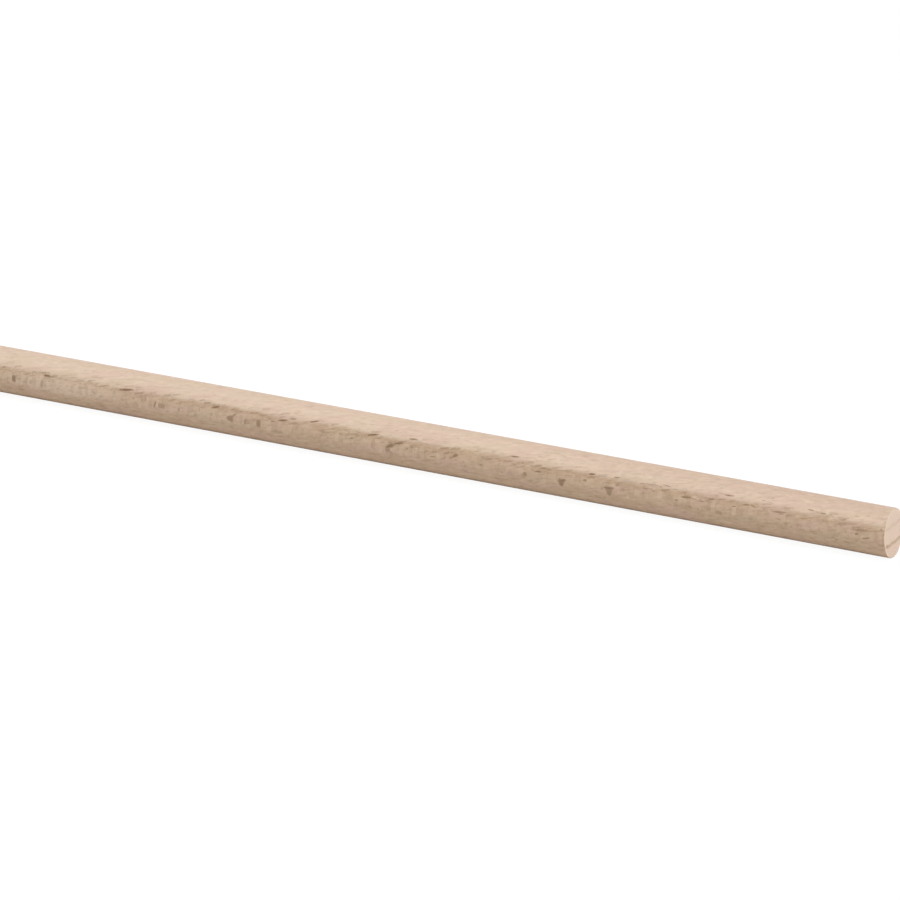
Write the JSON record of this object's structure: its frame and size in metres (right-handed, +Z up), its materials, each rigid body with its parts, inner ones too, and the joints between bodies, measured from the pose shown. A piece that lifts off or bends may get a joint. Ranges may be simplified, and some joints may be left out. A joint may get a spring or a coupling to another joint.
{
  "type": "wooden dowel rod",
  "caption": "Plain round hardwood dowel rod: a straight stick with lightly worn sawn ends, for pegs, axles, hangers, stirrers and craft work.",
  "frame": {"origin": "on the rod's axis, at the middle of its length", "axes": "+X along the rod towards the end that was sawn out of square, +Y across it, +Z up"},
  "size_m": [0.3, 0.01, 0.01],
  "materials": {
    "rod_wood": "sanded bare beech, satin where milled round and matt where sawn"
  },
  "bodies": {
    "root": {"rod": "rod_wood"}
  },
  "joints": []
}
